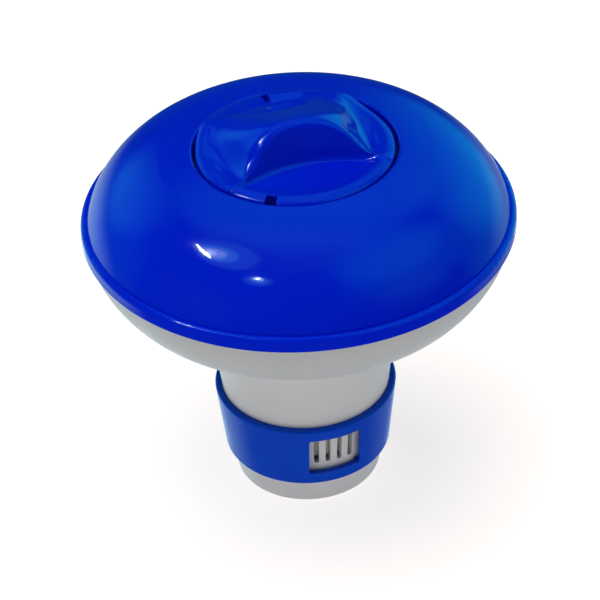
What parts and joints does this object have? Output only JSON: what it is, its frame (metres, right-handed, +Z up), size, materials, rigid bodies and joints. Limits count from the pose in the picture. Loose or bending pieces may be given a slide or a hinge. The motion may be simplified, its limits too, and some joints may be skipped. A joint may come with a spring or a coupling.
{
  "type": "floating chlorine dispenser",
  "caption": "Floating pool chlorine dispenser: domed float with twist-off filling cap, tapered tablet canister below it and a turning ring that opens or shuts the slots.",
  "frame": {"origin": "centre of the canister's flat base", "axes": "+Z up along the float's axis of revolution; -Y is the front, towards which the ring's first window and the cap's notch look"},
  "size_m": [0.1276, 0.1276, 0.1273],
  "materials": {
    "blue_dome": "gloss",
    "blue_ring": "satin",
    "white_plastic": "satin",
    "black_rubber": "matte",
    "chlorine": "matte"
  },
  "bodies": {
    "float": {"upper_float_shell": "blue_dome", "lower_float_shell": "white_plastic", "tablet_canister": "white_plastic", "neck_seal": "black_rubber", "rim_seal": "black_rubber", "throat_seal": "black_rubber", "chlorine_tablets": "chlorine"},
    "ring": {"flow_ring": "blue_ring"},
    "cap_seal": {"cap_seal": "black_rubber"},
    "cap": {"twist_cap": "blue_dome"}
  },
  "joints": [
    {"name": "ring_turn", "type": "hinge", "parent": "float", "child": "ring", "pos_m": [0, 0, 0.0207], "axis": [0, 0, 1], "continuous": true},
    {"name": "cap_lift", "type": "slide", "parent": "float", "child": "cap_seal", "axis": [0, 0, 1], "range_m": [0, 0.04]},
    {"name": "cap_turn", "type": "hinge", "parent": "cap_seal", "child": "cap", "pos_m": [0, 0, 0.1119], "axis": [0, 0, 1], "range_deg": [-40, 0]}
  ]
}
